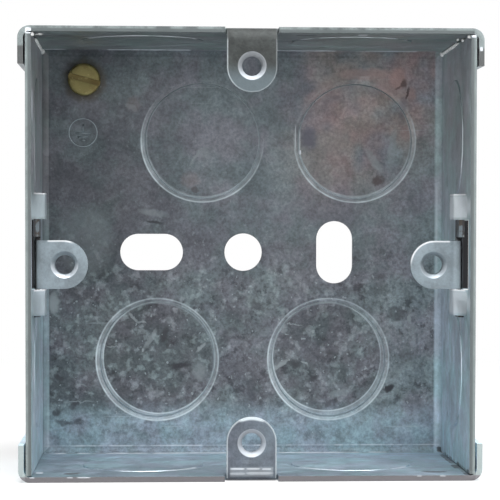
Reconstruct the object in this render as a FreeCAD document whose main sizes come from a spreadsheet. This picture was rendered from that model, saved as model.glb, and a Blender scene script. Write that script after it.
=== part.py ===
import FreeCAD, Part
import os
import re
import Sketcher

# Flush back box for one wiring accessory, folded from galvanised sheet.
# Millimetres. X is to the right, Z is up, and the mouth of the box faces -Y.
# The origin is the middle of the back's outer face.

SIZES = {
    # Folded sheet
    "box_width": 72.0,
    "box_height": 72.6,
    "box_depth": 35.0,
    "gauge": 0.9,
    "bend_inside": 1.3,
    "corner_gap": 0.2,
    # Ears of the top and bottom walls, folded over the side walls
    "ear_length": 6.0,
    "ear_gap": 0.3,
    "ear_bend_inside": 1.0,
    # Tapped holes for the accessory's screws, set in from the walls' outer faces
    "side_fixing_inset": 5.85,
    "cap_fixing_inset": 6.15,
    "thread_bore": 1.65,
    "collar_wall": 0.75,
    "collar_height": 1.1,
    "bore_lip": 0.55,
    # Fixed lugs, folded from the rim of the top and bottom walls
    "fixed_lug_width": 8.0,
    "fixed_lug_tip": 4.2,
    "fixed_lug_setback": 0.3,
    "fixed_lug_slit": 0.3,
    # Sliding lugs in the side walls
    "side_lug_width": 7.9,
    "side_lug_tip": 3.8,
    "side_lug_setback": 7.5,
    "side_lug_gauge": 0.9,
    "side_lug_bend_inside": 1.0,
    "side_lug_travel": 3.4,
    "side_lug_end_play": 0.05,
    "leg_face_play": 0.05,
    "wing_play": 0.15,
    "wing_reach": 4.6,
    "wing_notch": 0.6,
    "wing_corner": 0.6,
    "notch_depth": 0.3,
    "tongue_length": 5.6,
    # Straps lanced inwards from the side walls, and the window between them
    "strap_width": 4.2,
    "strap_ahead": 4.1,
    "strap_length": 10.0,
    "strap_ramp": 2.8,
    "strap_edge_round": 1.0,
    "window_ahead": 1.1,
    # Knockouts, half sheared and pressed in from outside
    "knockout_radius": 9.95,
    "groove_width": 0.9,
    "groove_depth": 0.32,
    "groove_flank": 0.12,
    "disc_sunk": 0.2,
    "low_knockout_spacing": 30.2,
    "low_knockout_inset": 16.5,
    "high_knockout_spacing": 26.9,
    "high_knockout_inset": 15.85,
    "high_knockout_from_side": 15.4,
    "cap_knockout_spacing": 35.0,
    "cap_knockout_rise": 17.5,
    "side_knockout_spacing": 38.6,
    "side_knockout_rise": 15.5,
    # Fixing holes of the back
    "back_hole_radius": 3.3,
    "slot_radius": 3.2,
    "slot_length": 11.0,
    "slot_across": 16.1,
    # Earth screw and its tapped collar, set in from the inner corner
    "earth_side_inset": 7.3,
    "earth_cap_inset": 5.4,
    "earth_shank_radius": 1.6,
    "earth_bore_play": 0.05,
    "earth_collar_wall": 0.9,
    "earth_collar_height": 1.4,
    "earth_head_radius": 2.85,
    "earth_head_height": 1.7,
    "earth_head_chamfer": 0.45,
    "earth_slot_width": 0.9,
    "earth_slot_depth": 0.8,
    "earth_slot_angle": 15.0,
    "earth_tip_chamfer": 0.4,
}

# Lengths that follow from the ones above
DERIVED = {
    "half_width": "box_width / 2",
    "half_height": "box_height / 2",
    "inner_half_width": "half_width - gauge",
    "inner_half_height": "half_height - gauge",
    "bend_outside": "bend_inside + gauge",
    "side_wall_height": "2 * (inner_half_height - corner_gap)",
    "cap_half_width": "half_width + ear_gap - ear_bend_inside",
    "ear_inner": "half_width + ear_gap",
    "ear_outer": "ear_inner + gauge",
    "ear_bend_outside": "ear_bend_inside + gauge",
    "side_centre": "half_width - side_fixing_inset",
    "cap_centre": "half_height - cap_fixing_inset",
    "collar_radius": "thread_bore + collar_wall",
    "fixed_plate_front": "box_depth - fixed_lug_setback",
    "fixed_plate_back": "fixed_plate_front - gauge",
    "fixed_half_width": "fixed_lug_width / 2",
    "fixed_tip_centre": "cap_centre - fixed_lug_tip + fixed_half_width",
    "side_plate_front": "box_depth - side_lug_setback",
    "side_plate_back": "side_plate_front - side_lug_gauge",
    "side_half_width": "side_lug_width / 2",
    "side_tip_centre": "side_centre - side_lug_tip + side_half_width",
    "side_bend_outside": "side_lug_bend_inside + side_lug_gauge",
    "side_bend_end": "side_plate_front - side_bend_outside",
    "leg_outer": "inner_half_width - leg_face_play",
    "leg_inner": "leg_outer - side_lug_gauge",
    "strap_rise": "gauge + side_lug_gauge + 2 * leg_face_play",
    "strap_low": "side_half_width + side_lug_travel / 2 + side_lug_end_play",
    "strap_high": "strap_low + strap_width",
    "strap_start": "side_plate_front + strap_ahead",
    "strap_end": "strap_start - strap_length",
    "strap_flat_start": "strap_start - strap_ramp",
    "strap_flat_end": "strap_end + strap_ramp",
    "window_start": "strap_start + window_ahead",
    "wing_start": "strap_flat_start - wing_play",
    "wing_end": "strap_flat_end + wing_play",
    "wing_half_span": "side_half_width + wing_reach",
    "tongue_end": "side_bend_end - tongue_length",
    "groove_outer": "knockout_radius + groove_width",
    "low_knockout_down": "inner_half_height - low_knockout_inset",
    "high_knockout_up": "inner_half_height - high_knockout_inset",
    "high_knockout_right": "inner_half_width - high_knockout_from_side",
    "earth_across": "inner_half_width - earth_side_inset",
    "earth_up": "inner_half_height - earth_cap_inset",
    "earth_seat": "gauge + earth_collar_height",
}

doc = FreeCAD.newDocument("flush_back_box")

sheet = doc.addObject("Spreadsheet::Sheet", "sizes")
for row, (word, value) in enumerate(SIZES.items(), start=1):
    sheet.set(f"A{row}", word)
    sheet.set(f"B{row}", str(value))
    sheet.setAlias(f"B{row}", word)
doc.recompute()
for row, (word, formula) in enumerate(DERIVED.items(), start=1):
    sheet.set(f"D{row}", word)
    sheet.set(f"E{row}", "=" + formula)
    sheet.setAlias(f"E{row}", word)
doc.recompute()

ORIGIN = (-1, 1)
START, END, CENTRE = range(1, 4)
SAME_PLACE = 0.01


def bound(formula):
    """Formula of the sheet's words, as an expression that another object can hold."""
    return re.sub("[a-z_]+", lambda word: "sizes." + word.group(), formula)


def value_of(formula):
    """The formula's present value."""
    return float(sheet.evalExpression(bound(formula)))


def new_body(label):
    body = doc.addObject("PartDesign::Body", label)
    body.Label = label
    return body


def new_sketch(body, plane, name, offset="0"):
    """Sketch on one of the body's origin planes, moved along the plane's normal."""
    sketch = body.newObject("Sketcher::SketchObject", name)
    features = body.Origin.OriginFeatures
    base = [feature for feature in features if feature.Role == plane][0]
    sketch.AttachmentSupport = [(base, "")]
    sketch.MapMode = "FlatFace"
    sketch.setExpression(".AttachmentOffset.Base.z", bound(offset))
    return sketch


def place(sketch, geometry, point, across, up):
    """Hold one point of the sketch at its two distances from the origin."""
    for kind, formula in (("DistanceX", across), ("DistanceY", up)):
        distance = Sketcher.Constraint(kind, *ORIGIN, geometry, point, value_of(formula))
        index = sketch.addConstraint(distance)
        sketch.setExpression(f"Constraints[{index}]", bound(formula))


def hold_radius(sketch, geometry, formula):
    index = sketch.addConstraint(Sketcher.Constraint("Radius", geometry, value_of(formula)))
    sketch.setExpression(f"Constraints[{index}]", bound(formula))


def joined(sketch, first, first_end, second, second_end):
    sketch.addConstraint(Sketcher.Constraint("Coincident", first, first_end, second, second_end))


def circle(sketch, across, up, radius):
    centre = FreeCAD.Vector(value_of(across), value_of(up), 0)
    ring = Part.Circle(centre, FreeCAD.Vector(0, 0, 1), value_of(radius))
    index = sketch.addGeometry(ring)
    place(sketch, index, CENTRE, across, up)
    hold_radius(sketch, index, radius)


def arc_between(centre, start, end, turns_left):
    """Arc from start to end, and which of its ends lies at the start."""
    if not turns_left:
        start, end = end, start
    normal = FreeCAD.Vector(0, 0, 1)
    whole = Part.Circle(centre, normal, (start - centre).Length)
    arc = Part.ArcOfCircle(whole, whole.parameter(start), whole.parameter(end))
    return arc, (START, END) if turns_left else (END, START)


def outline(sketch, corners):
    """Closed outline. A corner is (across, up), or (across, up, radius) where square
    sides meet in a round."""
    count = len(corners)
    spots = [FreeCAD.Vector(value_of(c[0]), value_of(c[1]), 0) for c in corners]
    stops = []
    for index, corner in enumerate(corners):
        if len(corner) == 2:
            stops.append([(spots[index], corner[0], corner[1])])
            continue
        pair = []
        for neighbour in (spots[index - 1], spots[(index + 1) % count]):
            way = (neighbour - spots[index]).normalize()
            across = f"{corner[0]} + {round(way.x)} * ( {corner[2]} )"
            up = f"{corner[1]} + {round(way.y)} * ( {corner[2]} )"
            pair.append((spots[index] + way * value_of(corner[2]), across, up))
        stops.append(pair)
    lines = []
    for index in range(count):
        start = stops[index][-1]
        end = stops[(index + 1) % count][0]
        lines.append(sketch.addGeometry(Part.LineSegment(start[0], end[0])))
        place(sketch, lines[index], START, start[1], start[2])
    for index in range(count):
        before = lines[index - 1]
        after = lines[index]
        if len(corners[index]) == 2:
            joined(sketch, before, END, after, START)
            continue
        start, end = stops[index][0], stops[index][1]
        centre = start[0] + end[0] - spots[index]
        turn = (spots[index] - start[0]).cross(end[0] - spots[index]).z
        arc, ends = arc_between(centre, start[0], end[0], turn > 0)
        added = sketch.addGeometry(arc)
        place(sketch, before, END, start[1], start[2])
        joined(sketch, before, END, added, ends[0])
        joined(sketch, added, ends[1], after, START)
        hold_radius(sketch, added, corners[index][2])


def level_ends(sketch, arcs, upright):
    """Hold both ends of half circles level with their centres."""
    level = "Horizontal" if upright else "Vertical"
    for arc in arcs:
        for end in (START, END):
            sketch.addConstraint(Sketcher.Constraint(level, arc, end, arc, CENTRE))


def round_end(sketch, centre, radius, start, end):
    """Half circle about a held centre, with its ends still to be levelled."""
    normal = FreeCAD.Vector(0, 0, 1)
    middle = FreeCAD.Vector(value_of(centre[0]), value_of(centre[1]), 0)
    whole = Part.Circle(middle, normal, value_of(radius))
    arc = Part.ArcOfCircle(whole, whole.parameter(start), whole.parameter(end))
    added = sketch.addGeometry(arc)
    place(sketch, added, CENTRE, *centre)
    hold_radius(sketch, added, radius)
    return added


def stadium(sketch, across, up, half_run, radius, upright):
    """Long hole with two round ends; half_run is from its middle to an end's centre."""
    way = (0, 1) if upright else (1, 0)
    arcs = []
    for sign in (1, -1):
        centre = (f"{across} + {sign * way[0]} * ( {half_run} )",
                  f"{up} + {sign * way[1]} * ( {half_run} )")
        middle = FreeCAD.Vector(value_of(centre[0]), value_of(centre[1]), 0)
        side = FreeCAD.Vector(way[1], -way[0], 0) * (sign * value_of(radius))
        arcs.append(round_end(sketch, centre, radius, middle + side, middle - side))
    for first, second in ((0, 1), (1, 0)):
        start = sketch.Geometry[arcs[first]].EndPoint
        end = sketch.Geometry[arcs[second]].StartPoint
        line = sketch.addGeometry(Part.LineSegment(start, end))
        joined(sketch, arcs[first], END, line, START)
        joined(sketch, line, END, arcs[second], START)
    level_ends(sketch, arcs, upright)


def tab(sketch, sign, root, tip_centre, half_width, upright):
    """Plate with one round end. It runs from root inwards to the end's centre, on the
    side of the origin that sign gives."""
    middle = f"{sign} * ( {tip_centre} )"
    centre = ("0", middle) if upright else (middle, "0")
    spot = FreeCAD.Vector(value_of(centre[0]), value_of(centre[1]), 0)
    side = FreeCAD.Vector(1, 0, 0) if upright else FreeCAD.Vector(0, -1, 0)
    reach = side * (-sign * value_of(half_width))
    arc = round_end(sketch, centre, half_width, spot + reach, spot - reach)
    level_ends(sketch, [arc], upright)
    far = []
    for end, turn in ((START, -sign), (END, sign)):
        edge = f"{turn} * ( {half_width} )"
        foot = (edge, f"{sign} * ( {root} )")
        if not upright:
            foot = (f"{sign} * ( {root} )", f"{-turn} * ( {half_width} )")
        near = spot + (reach if end == START else reach * -1)
        start = FreeCAD.Vector(value_of(foot[0]), value_of(foot[1]), 0)
        line = sketch.addGeometry(Part.LineSegment(start, near))
        place(sketch, line, START, *foot)
        joined(sketch, line, END, arc, end)
        far.append((line, start))
    root_line = sketch.addGeometry(Part.LineSegment(far[0][1], far[1][1]))
    joined(sketch, root_line, START, far[0][0], START)
    joined(sketch, root_line, END, far[1][0], START)


def pad(body, sketch, name, length, both_ways=False, turned=False):
    feature = body.newObject("PartDesign::Pad", name)
    feature.Profile = sketch
    feature.setExpression("Length", bound(length))
    feature.SideType = "Symmetric" if both_ways else "One side"
    feature.Reversed = turned
    return finish(body, feature, 1)


def pocket(body, sketch, name, length=None, turned=False):
    """Pocket to a length, or right through the part on both sides of its sketch."""
    feature = body.newObject("PartDesign::Pocket", name)
    feature.Profile = sketch
    if length is None:
        feature.Type = "ThroughAll"
        feature.SideType = "Symmetric"
    else:
        feature.setExpression("Length", bound(length))
    feature.Reversed = turned
    return finish(body, feature, -1)


def finish(body, feature, change):
    """Work the feature out, and see that it adds or removes metal as it should."""
    before = body.Shape.Volume if not body.Shape.isNull() else 0.0
    doc.recompute()
    gained = body.Shape.Volume - before
    if gained * change <= 0:
        raise RuntimeError(f"{feature.Name} changed the volume by {gained:.4f}")
    return feature


def edges_at(body, test):
    """Names of the finished body's edges that pass the test."""
    names = []
    for index, edge in enumerate(body.Shape.Edges, start=1):
        if test(edge):
            names.append(f"Edge{index}")
    return names


def eased(body, kind, name, size, test):
    """Fillet or chamfer on the outward edges that pass the test."""
    base = body.Tip
    names = edges_at(body, test)
    feature = body.newObject("PartDesign::" + kind, name)
    feature.Base = (base, names)
    feature.setExpression("Radius" if kind == "Fillet" else "Size", bound(size))
    return finish(body, feature, -1)


def mirrored(body, name, features, plane):
    feature = body.newObject("PartDesign::Mirrored", name)
    feature.Originals = features
    origin = [item for item in body.Origin.OriginFeatures if item.Role == plane][0]
    feature.MirrorPlane = (origin, [""])
    body.Tip = feature
    return finish(body, feature, 1)


def is_ring(edge, centre, radius):
    """True for a full circle with this centre and radius."""
    curve = edge.Curve
    if not isinstance(curve, Part.Circle) or len(edge.Vertexes) != 1:
        return False
    near = (curve.Center - centre).Length < SAME_PLACE
    return near and abs(curve.Radius - radius) < SAME_PLACE


def channels(body):
    """Base with its four walls: two channels crossing at the base."""
    sides = new_sketch(body, "XY_Plane", "side_channel_profile")
    outline(sides, [
        ("-half_width", "-box_depth"), ("-half_width", "0", "bend_outside"),
        ("half_width", "0", "bend_outside"), ("half_width", "-box_depth"),
        ("inner_half_width", "-box_depth"),
        ("inner_half_width", "-gauge", "bend_inside"),
        ("-inner_half_width", "-gauge", "bend_inside"),
        ("-inner_half_width", "-box_depth"),
    ])
    pad(body, sides, "side_channel", "side_wall_height", both_ways=True)
    caps = new_sketch(body, "YZ_Plane", "cap_channel_profile")
    outline(caps, [
        ("-box_depth", "-half_height"), ("0", "-half_height", "bend_outside"),
        ("0", "half_height", "bend_outside"), ("-box_depth", "half_height"),
        ("-box_depth", "inner_half_height"),
        ("-gauge", "inner_half_height", "bend_inside"),
        ("-gauge", "-inner_half_height", "bend_inside"),
        ("-box_depth", "-inner_half_height"),
    ])
    pad(body, caps, "cap_channel", "2 * cap_half_width", both_ways=True)


def folded_ears(body):
    """Ears of the top and bottom walls, folded over the side walls at the seams."""
    ears = new_sketch(body, "XZ_Plane", "ear_profile", "bend_outside")
    for sx in (-1, 1):
        for sz in (-1, 1):
            outline(ears, [
                (f"{sx} * ( cap_half_width - gauge )", f"{sz} * half_height"),
                (f"{sx} * ear_outer", f"{sz} * half_height", "ear_bend_outside"),
                (f"{sx} * ear_outer", f"{sz} * ( half_height - ear_length )"),
                (f"{sx} * ear_inner", f"{sz} * ( half_height - ear_length )"),
                (f"{sx} * ear_inner", f"{sz} * inner_half_height", "ear_bend_inside"),
                (f"{sx} * ( cap_half_width - gauge )", f"{sz} * inner_half_height"),
            ])
    pad(body, ears, "ears", "box_depth - bend_outside")


def fixed_lugs(body):
    """Lugs folded in from the rim of the top and bottom walls, with tapped collars."""
    slits = new_sketch(body, "XY_Plane", "rim_notch_profile")
    half = "( fixed_half_width + fixed_lug_slit )"
    bend_start = "- ( fixed_plate_front - bend_outside )"
    outline(slits, [
        (f"-1 * {half}", "- ( box_depth + gauge )"), (half, "- ( box_depth + gauge )"),
        (half, bend_start), (f"-1 * {half}", bend_start),
    ])
    pocket(body, slits, "rim_notches")
    folds = new_sketch(body, "YZ_Plane", "fixed_lug_fold_profile")
    root = "- ( fixed_plate_front - bend_outside - gauge )"
    for sign in (-1, 1):
        plate_end = f"{sign} * ( half_height - bend_outside - gauge )"
        outline(folds, [
            (root, f"{sign} * half_height"),
            ("-fixed_plate_front", f"{sign} * half_height", "bend_outside"),
            ("-fixed_plate_front", plate_end), ("-fixed_plate_back", plate_end),
            ("-fixed_plate_back", f"{sign} * inner_half_height", "bend_inside"),
            (root, f"{sign} * inner_half_height"),
        ])
    pad(body, folds, "fixed_lug_folds", "fixed_lug_width", both_ways=True)
    plates = new_sketch(body, "XZ_Plane", "fixed_lug_plate_profile", "fixed_plate_back")
    for sign in (-1, 1):
        tab(plates, sign, "half_height - bend_outside", "fixed_tip_centre",
            "fixed_half_width", True)
    pad(body, plates, "fixed_lug_plates", "gauge")
    collars = new_sketch(body, "XZ_Plane", "fixed_collar_profile", "fixed_plate_back")
    bores = new_sketch(body, "XZ_Plane", "fixed_bore_profile", "fixed_plate_front")
    for sign in (-1, 1):
        circle(collars, "0", f"{sign} * cap_centre", "collar_radius")
        circle(bores, "0", f"{sign} * cap_centre", "thread_bore")
    pad(body, collars, "fixed_collars", "collar_height", turned=True)
    pocket(body, bores, "fixed_bores", "gauge + collar_height")
    front = -value_of("fixed_plate_front")
    spots = [FreeCAD.Vector(0, front, sign * value_of("cap_centre")) for sign in (-1, 1)]
    radius = value_of("thread_bore")
    eased(body, "Chamfer", "fixed_bore_lips", "bore_lip",
          lambda edge: any(is_ring(edge, spot, radius) for spot in spots))


def straps(body):
    """Window of each side wall, level with the sliding lug's plate, and the two straps
    lanced inwards beside it."""
    window = new_sketch(body, "YZ_Plane", "window_profile")
    outline(window, [
        ("-strap_start", "strap_high"), ("-strap_end", "strap_high"),
        ("-strap_end", "strap_low"), ("-side_plate_back", "strap_low"),
        ("-side_plate_back", "-strap_low"), ("-strap_end", "-strap_low"),
        ("-strap_end", "-strap_high"), ("-strap_start", "-strap_high"),
        ("-strap_start", "-strap_low"), ("-window_start", "-strap_low"),
        ("-window_start", "strap_low"), ("-strap_start", "strap_low"),
    ])
    pocket(body, window, "windows")
    bridge = new_sketch(body, "XY_Plane", "strap_profile", "strap_low")
    for sign in (-1, 1):
        outline(bridge, [
            (f"{sign} * half_width", "-strap_start"),
            (f"{sign} * ( half_width - strap_rise )", "-strap_flat_start"),
            (f"{sign} * ( half_width - strap_rise )", "-strap_flat_end"),
            (f"{sign} * half_width", "-strap_end"),
            (f"{sign} * inner_half_width", "-strap_end"),
            (f"{sign} * ( inner_half_width - strap_rise )", "-strap_flat_end"),
            (f"{sign} * ( inner_half_width - strap_rise )", "-strap_flat_start"),
            (f"{sign} * inner_half_width", "-strap_start"),
        ])
    upper = pad(body, bridge, "upper_straps", "strap_width")
    mirrored(body, "lower_straps", [upper], "XY_Plane")
    crest = value_of("inner_half_width - strap_rise")
    bends = (-value_of("strap_flat_start"), -value_of("strap_flat_end"))

    def at_crest(edge):
        middle = edge.CenterOfMass
        across = abs(abs(middle.x) - crest) < SAME_PLACE
        return across and min(abs(middle.y - bend) for bend in bends) < SAME_PLACE
    eased(body, "Fillet", "strap_crests", "strap_edge_round", at_crest)


def back_holes(body):
    """Round hole and two crossed slots for the wall screws."""
    holes = new_sketch(body, "XZ_Plane", "back_hole_profile")
    circle(holes, "0", "0", "back_hole_radius")
    half_run = "slot_length / 2 - slot_radius"
    stadium(holes, "-slot_across", "0", half_run, "slot_radius", False)
    stadium(holes, "slot_across", "0", half_run, "slot_radius", True)
    pocket(body, holes, "back_holes", "gauge", turned=True)


def knockout(body, name, plane, offset, centre, inner_face, outer_face, along_x=False):
    """One knockout, turned about the disc's own axis: a coined ring on the inside, and
    the disc pressed in a little on the outside."""
    sketch = new_sketch(body, plane, name + "_profile", offset)
    way = 1 if value_of(inner_face) > value_of(outer_face) else -1

    def spot(radius, face, sunk):
        place_there = (f"{centre} + {radius}", f"{face} - {way} * ( {sunk} )")
        if along_x:
            return (place_there[1], place_there[0])
        return place_there
    outline(sketch, [
        spot("groove_outer", inner_face, "0"), spot("knockout_radius", inner_face, "0"),
        spot("knockout_radius + groove_flank", inner_face, "groove_depth"),
    ])
    outline(sketch, [
        spot("0", outer_face, "0"), spot("knockout_radius", outer_face, "0"),
        spot("knockout_radius", outer_face, "-disc_sunk"), spot("0", outer_face, "-disc_sunk"),
    ])
    ends = [spot("0", inner_face, "0"), spot("0", outer_face, "0")]
    points = [FreeCAD.Vector(value_of(x), value_of(y), 0) for x, y in ends]
    axis = sketch.addGeometry(Part.LineSegment(*points), True)
    for point, end in zip((START, END), ends):
        place(sketch, axis, point, *end)
    groove = body.newObject("PartDesign::Groove", name)
    groove.Profile = sketch
    groove.ReferenceAxis = (sketch, ["Axis0"])
    groove.Angle = 360
    finish(body, groove, -1)


def knockouts(body):
    """Four knockouts in the base and two in each wall."""
    low = "-low_knockout_down"
    high = "high_knockout_up"
    base = [("-low_knockout_spacing / 2", low), ("low_knockout_spacing / 2", low),
            ("high_knockout_right - high_knockout_spacing", high),
            ("high_knockout_right", high)]
    for index, (across, up) in enumerate(base, start=1):
        knockout(body, f"base_knockout_{index}", "XY_Plane", up, across, "-gauge", "0")
    for wall, sz in (("top", 1), ("bottom", -1)):
        for side, sx in (("left", -1), ("right", 1)):
            knockout(body, f"{wall}_{side}_knockout", "XZ_Plane", "cap_knockout_rise",
                     f"{sx} * cap_knockout_spacing / 2", f"{sz} * inner_half_height",
                     f"{sz} * half_height")
    for wall, sx in (("left", -1), ("right", 1)):
        for side, sz in (("lower", -1), ("upper", 1)):
            knockout(body, f"{wall}_{side}_knockout", "XY_Plane",
                     f"{sz} * side_knockout_spacing / 2", "-side_knockout_rise",
                     f"{sx} * inner_half_width", f"{sx} * half_width", along_x=True)


def earth_collar(body):
    """Tapped collar drawn up from the base for the earth screw."""
    collar = new_sketch(body, "XZ_Plane", "earth_collar_profile", "gauge")
    circle(collar, "-earth_across", "earth_up", "earth_shank_radius + earth_collar_wall")
    pad(body, collar, "earth_collar", "earth_collar_height")
    bore = new_sketch(body, "XZ_Plane", "earth_bore_profile", "earth_seat")
    circle(bore, "-earth_across", "earth_up", "earth_shank_radius + earth_bore_play")
    pocket(body, bore, "earth_bore", "earth_seat")


def box_shell():
    body = new_body("box_shell")
    channels(body)
    folded_ears(body)
    fixed_lugs(body)
    straps(body)
    back_holes(body)
    knockouts(body)
    earth_collar(body)
    return body


def side_lug(label, sign):
    """Sliding lug: a winged leg behind the straps, folded into a plate with a tapped
    collar. It rests at the bottom of its travel."""
    body = new_body(label)
    start = "-leg_outer" if sign < 0 else "leg_inner"
    leg = new_sketch(body, "YZ_Plane", label + "_leg_profile", start)
    notch = "side_bend_end - notch_depth"
    beside = "( side_half_width + wing_notch )"
    half = [
        ("-side_bend_end", "side_half_width"), (f"- ( {notch} )", "side_half_width"),
        (f"- ( {notch} )", beside), ("-wing_start", beside),
        ("-wing_start", "wing_half_span", "wing_corner"),
        ("-wing_end", "wing_half_span", "wing_corner"),
        ("-wing_end", "side_half_width"),
        ("-tongue_end", "side_half_width", "wing_corner"),
    ]
    other = [(corner[0], f"-1 * {corner[1]}", *corner[2:]) for corner in reversed(half)]
    outline(leg, half + other)
    pad(body, leg, label + "_leg", "side_lug_gauge")
    fold = new_sketch(body, "XY_Plane", label + "_fold_profile")
    leg_end = "- ( side_bend_end - notch_depth )"
    plate_end = f"{sign} * ( leg_outer - side_bend_outside - side_lug_gauge )"
    outline(fold, [
        (f"{sign} * leg_outer", leg_end),
        (f"{sign} * leg_outer", "-side_plate_front", "side_bend_outside"),
        (plate_end, "-side_plate_front"), (plate_end, "-side_plate_back"),
        (f"{sign} * leg_inner", "-side_plate_back", "side_lug_bend_inside"),
        (f"{sign} * leg_inner", leg_end),
    ])
    pad(body, fold, label + "_fold", "side_lug_width", both_ways=True)
    plate = new_sketch(body, "XZ_Plane", label + "_plate_profile", "side_plate_back")
    tab(plate, sign, "leg_outer - side_bend_outside", "side_tip_centre",
        "side_half_width", False)
    pad(body, plate, label + "_plate", "side_lug_gauge")
    collar = new_sketch(body, "XZ_Plane", label + "_collar_profile", "side_plate_back")
    circle(collar, f"{sign} * side_centre", "0", "collar_radius")
    pad(body, collar, label + "_collar", "collar_height", turned=True)
    bore = new_sketch(body, "XZ_Plane", label + "_bore_profile", "side_plate_front")
    circle(bore, f"{sign} * side_centre", "0", "thread_bore")
    pocket(body, bore, label + "_bore", "side_lug_gauge + collar_height")
    spot = FreeCAD.Vector(sign * value_of("side_centre"), -value_of("side_plate_front"), 0)
    radius = value_of("thread_bore")
    eased(body, "Chamfer", label + "_bore_lip", "bore_lip",
          lambda edge: is_ring(edge, spot, radius))
    body.setExpression(".Placement.Base.z", bound("-side_lug_travel / 2"))
    return body


def earth_screw():
    """Slotted cheese-head screw, turned about its own axis along Y."""
    body = new_body("earth_screw")
    turned = new_sketch(body, "XY_Plane", "earth_screw_profile")
    tip = "earth_seat - earth_tip_chamfer"
    outline(turned, [
        ("0", "-earth_head_height"),
        ("earth_head_radius - earth_head_chamfer", "-earth_head_height"),
        ("earth_head_radius", "earth_head_chamfer - earth_head_height"),
        ("earth_head_radius", "0"), ("earth_shank_radius", "0"),
        ("earth_shank_radius", tip),
        ("earth_shank_radius - earth_tip_chamfer", "earth_seat"), ("0", "earth_seat"),
    ])
    blank = body.newObject("PartDesign::Revolution", "earth_screw_blank")
    blank.Profile = turned
    blank.ReferenceAxis = (turned, ["V_Axis"])
    blank.Angle = 360
    finish(body, blank, 1)
    slot = new_sketch(body, "XZ_Plane", "earth_slot_profile", "earth_head_height")
    reach = "( earth_head_radius + gauge )"
    half = "( earth_slot_width / 2 )"
    outline(slot, [(f"-1 * {reach}", f"-1 * {half}"), (reach, f"-1 * {half}"),
                   (reach, half), (f"-1 * {reach}", half)])
    pocket(body, slot, "earth_slot", "earth_slot_depth")
    turn = FreeCAD.Rotation(FreeCAD.Vector(0, 1, 0), value_of("earth_slot_angle"))
    body.Placement = FreeCAD.Placement(FreeCAD.Vector(0, 0, 0), turn)
    body.setExpression(".Placement.Rotation.Angle", bound("earth_slot_angle"))
    body.setExpression(".Placement.Base.x", bound("-earth_across"))
    body.setExpression(".Placement.Base.y", bound("-earth_seat"))
    body.setExpression(".Placement.Base.z", bound("earth_up"))
    return body


parts = [box_shell(), side_lug("left_adjustable_lug", -1),
         side_lug("right_adjustable_lug", 1), earth_screw()]
doc.recompute()

for item in doc.Objects:
    if "Invalid" in item.State or "Error" in item.State:
        raise RuntimeError(f"{item.Name} is {item.State}")
os.makedirs("parts", exist_ok=True)
for body in parts:
    shape = body.Shape
    if shape.isNull() or not shape.isValid() or len(shape.Solids) != 1:
        raise RuntimeError(f"{body.Label} has no sound single solid")
    shape.exportStep(os.path.join("parts", body.Label + ".step"))
    box = shape.BoundBox
    print(body.Label, "volume", round(shape.Volume, 2), "faces", len(shape.Faces),
          "x", round(box.XMin, 2), round(box.XMax, 2), "y", round(box.YMin, 2),
          round(box.YMax, 2), "z", round(box.ZMin, 2), round(box.ZMax, 2))
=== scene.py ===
import math
from types import SimpleNamespace

import bmesh
import bpy
from mathutils import Matrix, Vector, noise


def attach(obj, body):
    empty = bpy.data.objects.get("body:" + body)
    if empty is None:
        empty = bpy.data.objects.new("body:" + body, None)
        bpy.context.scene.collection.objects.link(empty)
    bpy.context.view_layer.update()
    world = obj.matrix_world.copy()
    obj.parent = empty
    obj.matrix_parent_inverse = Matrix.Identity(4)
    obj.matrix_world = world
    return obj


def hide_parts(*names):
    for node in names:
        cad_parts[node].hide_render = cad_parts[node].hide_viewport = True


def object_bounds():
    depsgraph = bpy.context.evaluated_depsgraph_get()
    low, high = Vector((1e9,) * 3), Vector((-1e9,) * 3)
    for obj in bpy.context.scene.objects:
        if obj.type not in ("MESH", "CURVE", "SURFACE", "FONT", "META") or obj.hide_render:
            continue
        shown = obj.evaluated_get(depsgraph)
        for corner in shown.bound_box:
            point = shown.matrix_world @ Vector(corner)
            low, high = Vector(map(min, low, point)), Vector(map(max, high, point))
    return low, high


# Looks of the flush back box. Lengths are millimetres, turned to metres by MM.
# X is to the right, Z is up, and the mouth faces -Y. In the materials, the pairs of
# numbers in spread() are the places, or the levels of a noise, between which a look
# comes in, and strengths run from 0 to 1.

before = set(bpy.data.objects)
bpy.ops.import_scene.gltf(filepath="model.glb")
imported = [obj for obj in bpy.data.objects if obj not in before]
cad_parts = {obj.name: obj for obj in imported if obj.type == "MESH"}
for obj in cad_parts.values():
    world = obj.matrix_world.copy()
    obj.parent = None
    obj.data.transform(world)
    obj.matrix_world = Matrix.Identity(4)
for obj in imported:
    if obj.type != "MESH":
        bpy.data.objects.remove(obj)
cad_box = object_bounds()

MM = 0.001
GAUGE = 0.9
BEND_INSIDE = 1.3
CORNER_GAP = 0.2
HALF_WIDTH = 36.0
HALF_HEIGHT = 36.3
BOX_DEPTH = 35.0
INNER_X = HALF_WIDTH - GAUGE
INNER_Z = HALF_HEIGHT - GAUGE
BASE_FACE = -GAUGE
WALL_FOOT = -(GAUGE + BEND_INSIDE)

# Lugs: the fixing centres, and the fixed lugs' outline and front sheet
FIXING_OUT = 30.15
FIXED_LUG_HALF = 4.0
FIXED_LUG_TIP = 29.95
FIXED_LUG_DEPTH = -32.0
FIXED_THREAD_DEPTH = -33.4
SIDE_LUG_UP = -1.7
SIDE_LUG_TIP = 30.3
SIDE_LUG_DEPTH = -26.8
SIDE_THREAD_DEPTH = -26.2
THREAD_BORE = 1.65
THREAD_PITCH = 0.6
THREAD_RISE = 0.10
THREAD_LENGTH = 1.3

# Height of the straps' middles above and below the middle of the box
STRAP_LEVEL = 7.8

# Knockouts of the walls: centre, half width of the painted highlight on the front arc, and
# where it starts in front of the centre
WALL_KNOCKOUTS = (((INNER_X, -15.5, 19.3), 0.7, 8.3), ((17.5, -17.5, INNER_Z), 0.95, 4.0))

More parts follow.
